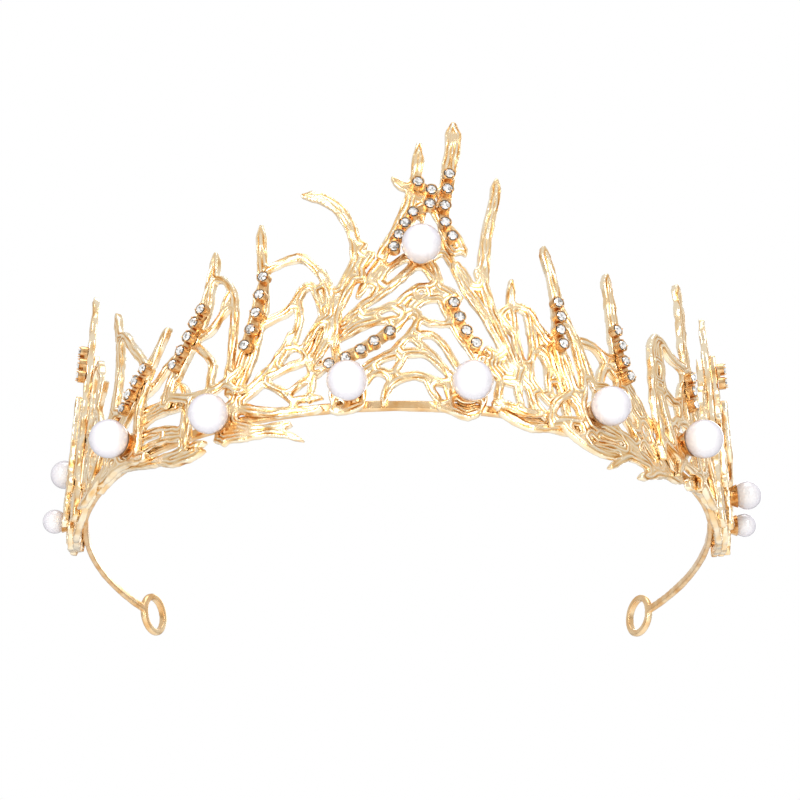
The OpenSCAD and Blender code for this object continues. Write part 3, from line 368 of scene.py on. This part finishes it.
# cast grain about 0.15 mm across
grain = put(tree, "ShaderNodeTexNoise", {"Vector": where, "Scale": 6500.0, "Detail": 2.0})
skin_bump = put(
    tree,
    "ShaderNodeBump",
    {
        "Height": grain.outputs["Fac"],
        "Strength": 0.18,
        "Distance": 0.00004,
        "Normal": lines.outputs["Normal"],
    },
)
metal = put(
    tree,
    "ShaderNodeBsdfPrincipled",
    {
        "Base Color": plate.outputs["Color"],
        "Metallic": 1.0,
        "Roughness": gloss.outputs["Result"],
        "Normal": skin_bump.outputs["Normal"],
    },
)
put(tree, "ShaderNodeOutputMaterial", {"Surface": metal.outputs["BSDF"]})

for order, node in enumerate(TWIG_NODES):
    branch = rounded(node, "cast_" + node, VOXEL, ROUNDING_PASSES)
    places = points_of(branch.data)
    ways = normals_of(branch.data)
    across_m = depth_from_sides(node, places)
    drift = STRAND_DRIFT * swell(places, 11, STRAND_DRIFT_LENGTH)
    fade = np.clip(0.7 + 0.5 * swell(places, 12, FADE_LENGTH), 0.1, 1.3)
    strand = fade * np.cos(2 * math.pi * across_m / STRAND_PITCH + drift)
    lumps = LUMP_HEIGHT * swell(places, 13 + order, LUMP_LENGTH)
    places = places + ways * (SKIN + STRAND_DEPTH * strand + lumps)[:, None]
    branch.data.vertices.foreach_set("co", places.ravel())
    # the strand phase, kept for the gold's painted highlight on ridges and painted shade in
    # grooves
    store(branch.data, "ridge_light_groove_shade", 0.5 + 0.5 * np.clip(strand, -1, 1))
    store(branch.data, "across_mm", across_m * 1000)
    branch.data.polygons.foreach_set("use_smooth", [True] * len(branch.data.polygons))
    branch.data.materials.append(twig_gold)
    branch.data.update()
    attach(branch, "root")
    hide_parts(node)

# ---- Base rail and side arms ----
# The rail is a flat bar bent to the head, and every branch is brazed to its outer face.
# An arm is brazed in each end of it and runs back to a flat ring for the ribbon.
RAIL_VOXEL = 0.00016
RAIL_PASSES = 5
RAIL_SKIN = 0.00005
HAND_BEND_HEIGHT = 0.00003
HAND_BEND_LENGTH = 0.006

# Gold plated steel bar: smoother than the castings, with fine polishing lines
bar_gold, tree = new_material("gold_plated_polished_bar")
where = put(tree, "ShaderNodeTexCoord").outputs["Object"]
# uneven plate in patches about 4 mm long
patch = put(tree, "ShaderNodeTexNoise", {"Vector": where, "Scale": 260.0, "Detail": 4.0})
plate = put(tree, "ShaderNodeValToRGB", {"Fac": patch.outputs["Fac"]})
plate.color_ramp.elements[0].position = 0.3
plate.color_ramp.elements[0].color = linear("#DCA45E")
plate.color_ramp.elements[1].position = 0.7
plate.color_ramp.elements[1].color = linear("#F6DDB4")
# polishing lines about 0.1 mm apart along the bar
flat_scale = put(
    tree, "ShaderNodeVectorMath", {0: where, 1: (600.0, 600.0, 9000.0)}, operation="MULTIPLY"
)
rub = put(
    tree, "ShaderNodeTexNoise", {"Vector": flat_scale.outputs[0], "Scale": 1.0, "Detail": 2.0}
)
gloss = put(
    tree,
    "ShaderNodeMapRange",
    {"Value": rub.outputs["Fac"], "To Min": 0.14, "To Max": 0.32},
)
rub_bump = put(
    tree,
    "ShaderNodeBump",
    {"Height": rub.outputs["Fac"], "Strength": 0.2, "Distance": 0.00003},
)
metal = put(
    tree,
    "ShaderNodeBsdfPrincipled",
    {
        "Base Color": plate.outputs["Color"],
        "Metallic": 1.0,
        "Roughness": gloss.outputs["Result"],
        "Normal": rub_bump.outputs["Normal"],
    },
)
put(tree, "ShaderNodeOutputMaterial", {"Surface": metal.outputs["BSDF"]})

for node in ("base_rail", "left_arm", "right_arm"):
    bar = rounded(node, "bent_" + node, RAIL_VOXEL, RAIL_PASSES)
    places = points_of(bar.data)
    bends = HAND_BEND_HEIGHT * swell(places, 31, HAND_BEND_LENGTH)
    places = places + normals_of(bar.data) * (RAIL_SKIN + bends)[:, None]
    bar.data.vertices.foreach_set("co", places.ravel())
    bar.data.polygons.foreach_set("use_smooth", [True] * len(bar.data.polygons))
    bar.data.materials.append(bar_gold)
    bar.data.update()
    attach(bar, "root")
    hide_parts(node)

# ---- Pearls ----
# Imitation pearls are turned from a plastic bead, half drilled, dipped in pearl lacquer and
# glued on the peg of a cup. They are round, with a soft deep shine.
PEARL_TURNS = 72
PEARL_RINGS = 48
DRILL_RADIUS = 0.0005
BORE_SHARE = 0.9
BORE_END = 0.35
BORE_MOUTH = 0.96

# Pearl lacquer over a plastic bead: milky white that turns lavender-grey to the edge, partly
# the lacquer's tint and partly painted shade
pearl_coat, tree = new_material("pearl_lacquer_on_plastic")
where = put(tree, "ShaderNodeTexCoord").outputs["Object"]
# clouds in the lacquer about 2 mm across
cloud = put(tree, "ShaderNodeTexNoise", {"Vector": where, "Scale": 500.0, "Detail": 3.0})
# painted shade: the colour darkens to lavender-grey as the surface turns away towards the
# outline
rim_shade = put(tree, "ShaderNodeLayerWeight", {"Blend": 0.45}).outputs["Facing"]
cloud_and_rim_shade = put(
    tree,
    "ShaderNodeMath",
    {0: cloud.outputs["Fac"], 1: 0.16, 2: rim_shade},
    operation="MULTIPLY_ADD",
)
milk_and_rim_shade = put(tree, "ShaderNodeValToRGB", {"Fac": cloud_and_rim_shade.outputs[0]})
milk_and_rim_shade.color_ramp.elements[0].position = 0.1
milk_and_rim_shade.color_ramp.elements[0].color = linear("#E9E7E8")
milk_and_rim_shade.color_ramp.elements[1].position = 0.95
milk_and_rim_shade.color_ramp.elements[1].color = linear("#A9A4B0")
middle = milk_and_rim_shade.color_ramp.elements.new(0.55)
middle.color = linear("#D5D1D8")
# the lacquer's fine orange-peel, about 0.3 mm across
peel = put(tree, "ShaderNodeTexNoise", {"Vector": where, "Scale": 3200.0, "Detail": 1.0})
peel_bump = put(
    tree,
    "ShaderNodeBump",
    {"Height": peel.outputs["Fac"], "Strength": 0.03, "Distance": 0.00003},
)
shine = put(
    tree,
    "ShaderNodeMapRange",
    {"Value": cloud.outputs["Fac"], "To Min": 0.22, "To Max": 0.34},
)
lacquer = put(
    tree,
    "ShaderNodeBsdfPrincipled",
    {
        "Base Color": milk_and_rim_shade.outputs["Color"],
        "Roughness": shine.outputs["Result"],
        "IOR": 1.55,
        "Subsurface Weight": 0.15,
        "Subsurface Radius": (0.9, 0.8, 0.8),
        "Subsurface Scale": 0.001,
        "Coat Weight": 1.0,
        "Coat Roughness": 0.05,
        "Coat IOR": 1.8,
        "Normal": peel_bump.outputs["Normal"],
    },
)
put(tree, "ShaderNodeOutputMaterial", {"Surface": lacquer.outputs["BSDF"]})

PEARL_NODES = [name for name in sorted(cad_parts) if name.startswith("pearl_")]
for node in PEARL_NODES:
    low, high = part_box(node)
    centre = np.array((low + high) / 2)
    radius = max(high[i] - low[i] for i in range(3)) / 2
    out = Vector(outward(centre[None])[0])
    turn_to = out.to_track_quat("Z", "Y").to_matrix()
    drilled = math.asin(DRILL_RADIUS / radius)
    rings = [
        (radius * math.sin(a), -radius * math.cos(a))
        for a in np.linspace(drilled, math.pi, PEARL_RINGS)
    ][:-1]
    bore = [(DRILL_RADIUS * BORE_SHARE, -radius * end) for end in (BORE_END, BORE_MOUTH)]
    corners, faces = [], []
    for r, z in bore + rings:
        for k in range(PEARL_TURNS):
            a = 2 * math.pi * k / PEARL_TURNS
            corners.append(turn_to @ Vector((r * math.cos(a), r * math.sin(a), z)))
    for row in range(len(bore + rings) - 1):
        for k in range(PEARL_TURNS):
            n = (k + 1) % PEARL_TURNS
            lower, upper = row * PEARL_TURNS, (row + 1) * PEARL_TURNS
            faces.append((lower + k, lower + n, upper + n, upper + k))
    last = (len(bore + rings) - 1) * PEARL_TURNS
    bottom, top = len(corners), len(corners) + 1
    corners += [turn_to @ Vector((0, 0, -radius * BORE_END)), turn_to @ Vector((0, 0, radius))]
    for k in range(PEARL_TURNS):
        n = (k + 1) % PEARL_TURNS
        faces.append((n, k, bottom))
        faces.append((last + k, last + n, top))
    mesh = bpy.data.meshes.new("lacquered_" + node)
    mesh.from_pydata([Vector(centre) + c for c in corners], [], faces)
    mesh.polygons.foreach_set("use_smooth", [True] * len(mesh.polygons))
    mesh.materials.append(pearl_coat)
    mesh.update()
    pearl = bpy.data.objects.new("lacquered_" + node, mesh)
    bpy.context.scene.collection.objects.link(pearl)
    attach(pearl, "root")
    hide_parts(node)

# ---- Pearl cups ----
# Each pearl sits in a small pressed cup with a peg, brazed on a branch. Its rim shows as a
# thin bright crescent under the pearl.
cup_gold, tree = new_material("gold_plated_pressed_brass")
where = put(tree, "ShaderNodeTexCoord").outputs["Object"]
# plate tone in patches about 1 mm across
patch = put(tree, "ShaderNodeTexNoise", {"Vector": where, "Scale": 1000.0, "Detail": 3.0})
plate = put(tree, "ShaderNodeValToRGB", {"Fac": patch.outputs["Fac"]})
plate.color_ramp.elements[0].position = 0.3
plate.color_ramp.elements[0].color = linear("#C98C4A")
plate.color_ramp.elements[1].position = 0.7
plate.color_ramp.elements[1].color = linear("#F0CE9C")
gloss = put(
    tree,
    "ShaderNodeMapRange",
    {"Value": patch.outputs["Fac"], "To Min": 0.12, "To Max": 0.28},
)
press_bump = put(
    tree,
    "ShaderNodeBump",
    {"Height": patch.outputs["Fac"], "Strength": 0.1, "Distance": 0.00004},
)
metal = put(
    tree,
    "ShaderNodeBsdfPrincipled",
    {
        "Base Color": plate.outputs["Color"],
        "Metallic": 1.0,
        "Roughness": gloss.outputs["Result"],
        "Normal": press_bump.outputs["Normal"],
    },
)
put(tree, "ShaderNodeOutputMaterial", {"Surface": metal.outputs["BSDF"]})


def refinish(node, finish):
    """Gives a CAD node's own solid a better finish."""
    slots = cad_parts[node].data.materials
    if len(slots) == 0:
        slots.append(finish)
    for i in range(len(slots)):
        slots[i] = finish


for node in ("main_pearl_cups", "side_pearl_cups"):
    refinish(node, cup_gold)

# ---- Stone settings ----
# The stones sit in cup chain: open cups linked by a narrow strip and brazed on the twigs.
# Four bent claws stand at each cup's rim and hold the stone.
CLAW_RADIUS = 0.00017
CLAW_LENGTH = 0.00042
CLAW_REACH = 0.98
CLAW_RISE = 0.75
CLAW_SPIN = 1.5
CLAW_SEED = 5
SETTING_NODES = [n for n in sorted(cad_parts) if n.startswith("setting_")]
for node in SETTING_NODES:
    refinish(node, cup_gold)


def stone_places(node):
    """The middle of each stone of a row, and how far its table is out from there."""
    sewing = bmesh.new()
    sewing.from_mesh(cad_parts[node].data)
    bmesh.ops.remove_doubles(sewing, verts=sewing.verts, dist=1e-6)
    left = set(sewing.verts)
    groups = []
    while left:
        seed = left.pop()
        group, edge_of = [seed], [seed]
        while edge_of:
            v = edge_of.pop()
            for e in v.link_edges:
                w = e.other_vert(v)
                if w in left:
                    left.remove(w)
                    group.append(w)
                    edge_of.append(w)
        groups.append(np.array([tuple(v.co) for v in group]))
    sewing.free()
    rows = []
    for corners in groups:
        middle = (corners.min(0) + corners.max(0)) / 2
        out = outward(middle[None])[0]
        depth = (corners - middle) @ out
        flat = (corners - middle) - np.outer(depth, out)
        rows.append((middle, out, depth.min(), depth.max(), np.linalg.norm(flat, axis=1).max()))
    rows.sort(key=lambda row: (round(row[0][2], 5), round(row[0][0], 5)))
    return rows


def points_object(name, rows, offsets):
    """One point for each stone, which keeps the way out from the wall."""
    mesh = bpy.data.meshes.new(name)
    mesh.from_pydata([Vector(m + o * d) for (m, o, *_), d in zip(rows, offsets)], [], [])
    mesh.attributes.new("out", "FLOAT_VECTOR", "POINT").data.foreach_set(
        "vector", np.array([o for _, o, *_ in rows], np.float32).ravel()
    )
    made = bpy.data.objects.new(name, mesh)
    bpy.context.scene.collection.objects.link(made)
    return made


def node_group(name, inputs):
    """An empty Geometry Nodes tree with named inputs."""
    tree = bpy.data.node_groups.new(name, "GeometryNodeTree")
    tree.interface.new_socket("Geometry", in_out="INPUT", socket_type="NodeSocketGeometry")
    for label, kind in inputs:
        tree.interface.new_socket(label, in_out="INPUT", socket_type=kind)
    tree.interface.new_socket("Geometry", in_out="OUTPUT", socket_type="NodeSocketGeometry")
    return tree, put(tree, "NodeGroupInput")


def run_tree(made, tree, values):
    """Runs a tree on an object with its inputs, and keeps the plain mesh."""
    step = made.modifiers.new(tree.name, "NODES")
    step.node_group = tree
    for item in tree.interface.items_tree:
        if item.in_out == "INPUT" and item.name in values:
            step[item.identifier] = values[item.name]
    return settle(made)


def turned_out(tree, seed, most_spin):
    """The turn that faces each instance out from the wall, with a spin of its own."""
    out_way = put(
        tree,
        "GeometryNodeInputNamedAttribute",
        {"Name": "out"},
        data_type="FLOAT_VECTOR",
    )
    facing = put(
        tree,
        "FunctionNodeAlignRotationToVector",
        {"Vector": out_way.outputs["Attribute"]},
        axis="Z",
    )
    spin = put(
        tree,
        "FunctionNodeRandomValue",
        {"Min": 0.0, "Max": most_spin, "Seed": seed},
        data_type="FLOAT",
    )
    spin_value = [o for o in spin.outputs if o.enabled][0]
    about = put(tree, "ShaderNodeCombineXYZ", {"Z": spin_value})
    spin_turn = put(tree, "FunctionNodeEulerToRotation", {"Euler": about.outputs["Vector"]})
    spun = put(
        tree,
        "FunctionNodeRotateRotation",
        {"Rotation": facing.outputs["Rotation"], "Rotate By": spin_turn.outputs["Rotation"]},
        rotation_space="LOCAL",
    )
    return spun.outputs["Rotation"]


claw_tree, given = node_group(
    "cup_claws",
    [
        ("Reach", "NodeSocketFloat"),
        ("Claw Radius", "NodeSocketFloat"),
        ("Claw Length", "NodeSocketFloat"),
        ("Seed", "NodeSocketInt"),
        ("Finish", "NodeSocketMaterial"),
    ],
)
ring = put(
    claw_tree,
    "GeometryNodeMeshCircle",
    {"Vertices": 4, "Radius": given.outputs["Reach"]},
)
claw = put(
    claw_tree,
    "GeometryNodeMeshUVSphere",
    {"Segments": 8, "Rings": 6, "Radius": given.outputs["Claw Radius"]},
)
stretch = put(
    claw_tree,
    "ShaderNodeMath",
    {0: given.outputs["Claw Length"], 1: given.outputs["Claw Radius"]},
    operation="DIVIDE",
)
shape = put(claw_tree, "ShaderNodeCombineXYZ", {"X": 1.0, "Y": 1.0, "Z": stretch.outputs[0]})
claws = put(
    claw_tree,
    "GeometryNodeInstanceOnPoints",
    {
        "Points": ring.outputs["Mesh"],
        "Instance": claw.outputs["Mesh"],
        "Scale": shape.outputs["Vector"],
    },
)
four = put(claw_tree, "GeometryNodeRealizeInstances", {"Geometry": claws.outputs["Instances"]})
sets = put(
    claw_tree,
    "GeometryNodeInstanceOnPoints",
    {
        "Points": given.outputs["Geometry"],
        "Instance": four.outputs["Geometry"],
        "Rotation": turned_out(claw_tree, given.outputs["Seed"], CLAW_SPIN),
    },
)
solid = put(claw_tree, "GeometryNodeRealizeInstances", {"Geometry": sets.outputs["Instances"]})
smooth = put(claw_tree, "GeometryNodeSetShadeSmooth", {"Geometry": solid.outputs["Geometry"]})
done = put(
    claw_tree,
    "GeometryNodeSetMaterial",
    {"Geometry": smooth.outputs["Geometry"], "Material": given.outputs["Finish"]},
)
put(claw_tree, "NodeGroupOutput", {"Geometry": done.outputs["Geometry"]})

STONE_NODES = [n for n in sorted(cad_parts) if n.startswith("stones_")]
stone_rows = {node: stone_places(node) for node in STONE_NODES}
for node in STONE_NODES:
    rows = stone_rows[node]
    girdle = rows[0][4]
    claws_piece = points_object(
        "claws_" + node[7:], rows, [top - CLAW_LENGTH * CLAW_RISE for _, _, _, top, _ in rows]
    )
    run_tree(
        claws_piece,
        claw_tree,
        {
            "Reach": girdle * CLAW_REACH,
            "Claw Radius": CLAW_RADIUS,
            "Claw Length": CLAW_LENGTH,
            "Seed": CLAW_SEED,
            "Finish": cup_gold,
        },
    )
    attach(claws_piece, "root")

# ---- Stones ----
# The stones are machine-cut glass rhinestones with foil on the back: a flat table, a ring of
# sloping facets, a thin girdle and a pointed back. Each row is glued in its cups.
TABLE_SHARE = 0.60
CROWN_SHARE = 0.15
RIM_SHARE = 0.87
RIM_GAP = 0.00001
LEAST_BACK = 0.0003
FACETS = 10
STONE_SPIN = 3.0
STONE_SEED = 9

# Foil-backed glass with painted glints: a clear face coloured white on one cell and dark on the
# next
stone_glass, tree = new_material("foil_backed_cut_glass")
where = put(tree, "ShaderNodeTexCoord").outputs["Object"]
painted_glint_cells = put(
    tree,
    "ShaderNodeTexVoronoi",
    # painted glints and dark painted reflections in cells about 0.4 mm across
    {"Vector": where, "Scale": 2400.0},
)
painted_glints = put(tree, "ShaderNodeValToRGB", {"Fac": painted_glint_cells.outputs["Color"]})
painted_glints.color_ramp.elements[0].position = 0.15
painted_glints.color_ramp.elements[0].color = linear("#8B857C")
painted_glints.color_ramp.elements[1].position = 0.55
painted_glints.color_ramp.elements[1].color = linear("#FFFFFF")
# a thin dark ring round the glass: the foil's lacquer, and painted shadow in the gap at the cup
gap_shade_and_foil_back = put(tree, "ShaderNodeAttribute", attribute_name="gap_shade_and_foil_back").outputs["Fac"]
lacquer_and_gap_shade = put(
    tree,
    "ShaderNodeMix",
    {"Factor": gap_shade_and_foil_back, 6: painted_glints.outputs["Color"], 7: linear("#4A3626")},
    data_type="RGBA",
)
facet_glass = put(
    tree,
    "ShaderNodeBsdfPrincipled",
    {
        "Base Color": lacquer_and_gap_shade.outputs[2],
        "Metallic": 0.75,
        "Roughness": 0.04,
        "Coat Weight": 1.0,
        "Coat Roughness": 0.02,
        "Coat IOR": 1.56,
    },
)
put(tree, "ShaderNodeOutputMaterial", {"Surface": facet_glass.outputs["BSDF"]})

stone_tree, given = node_group(
    "cut_stones",
    [
        ("Girdle Radius", "NodeSocketFloat"),
        ("Glass Radius", "NodeSocketFloat"),
        ("Table Radius", "NodeSocketFloat"),
        ("Crown Height", "NodeSocketFloat"),
        ("Rim Gap", "NodeSocketFloat"),
        ("Back Depth", "NodeSocketFloat"),
        ("Facets", "NodeSocketInt"),
        ("Seed", "NodeSocketInt"),
        ("Finish", "NodeSocketMaterial"),
    ],
)
crown = put(
    stone_tree,
    "GeometryNodeMeshCone",
    {
        "Vertices": given.outputs["Facets"],
        "Radius Top": given.outputs["Table Radius"],
        "Radius Bottom": given.outputs["Glass Radius"],
        "Depth": given.outputs["Crown Height"],
    },
)
band = put(
    stone_tree,
    "GeometryNodeMeshCone",
    {
        "Vertices": given.outputs["Facets"],
        "Radius Top": given.outputs["Girdle Radius"],
        "Radius Bottom": given.outputs["Table Radius"],
        "Depth": given.outputs["Back Depth"],
    },
)
down = put(
    stone_tree,
    "ShaderNodeMath",
    {0: given.outputs["Back Depth"], 1: -1.0, 2: given.outputs["Rim Gap"]},
    operation="MULTIPLY_ADD",
)
lower = put(
    stone_tree,
    "GeometryNodeTransform",
    {
        "Geometry": band.outputs["Mesh"],
        "Translation": put(
            stone_tree, "ShaderNodeCombineXYZ", {"Z": down.outputs[0]}
        ).outputs["Vector"],
    },
)
# marks the lower band, coloured dark as foil lacquer and as painted shadow in the gap round the
# stone
foil_and_gap_shade_marked = put(
    stone_tree,
    "GeometryNodeStoreNamedAttribute",
    {"Geometry": lower.outputs["Geometry"], "Name": "gap_shade_and_foil_back", "Value": 1.0},
    data_type="FLOAT",
    domain="FACE",
)
cut = put(stone_tree, "GeometryNodeJoinGeometry")
stone_tree.links.new(crown.outputs["Mesh"], cut.inputs["Geometry"])
stone_tree.links.new(foil_and_gap_shade_marked.outputs["Geometry"], cut.inputs["Geometry"])
joined = put(
    stone_tree,
    "GeometryNodeMergeByDistance",
    {"Geometry": cut.outputs["Geometry"], "Distance": 1e-6},
)
sets = put(
    stone_tree,
    "GeometryNodeInstanceOnPoints",
    {
        "Points": given.outputs["Geometry"],
        "Instance": joined.outputs["Geometry"],
        "Rotation": turned_out(stone_tree, given.outputs["Seed"], STONE_SPIN),
    },
)
solid = put(stone_tree, "GeometryNodeRealizeInstances", {"Geometry": sets.outputs["Instances"]})
flat = put(
    stone_tree,
    "GeometryNodeSetShadeSmooth",
    {"Geometry": solid.outputs["Geometry"], "Shade Smooth": False},
)
done = put(
    stone_tree,
    "GeometryNodeSetMaterial",
    {"Geometry": flat.outputs["Geometry"], "Material": given.outputs["Finish"]},
)
put(stone_tree, "NodeGroupOutput", {"Geometry": done.outputs["Geometry"]})

for node in STONE_NODES:
    rows = stone_rows[node]
    girdle = rows[0][4]
    crown_height = girdle * 2 * CROWN_SHARE
    piece = points_object(
        "cut_" + node, rows, [top - crown_height for _, _, _, top, _ in rows]
    )
    run_tree(
        piece,
        stone_tree,
        {
            "Girdle Radius": girdle,
            "Glass Radius": girdle * RIM_SHARE,
            "Table Radius": girdle * TABLE_SHARE,
            "Crown Height": crown_height,
            "Rim Gap": -RIM_GAP,
            "Back Depth": max(LEAST_BACK, rows[0][3] - rows[0][2] - crown_height),
            "Facets": FACETS,
            "Seed": STONE_SEED,
            "Finish": stone_glass,
        },
    )
    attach(piece, "root")
    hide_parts(node)
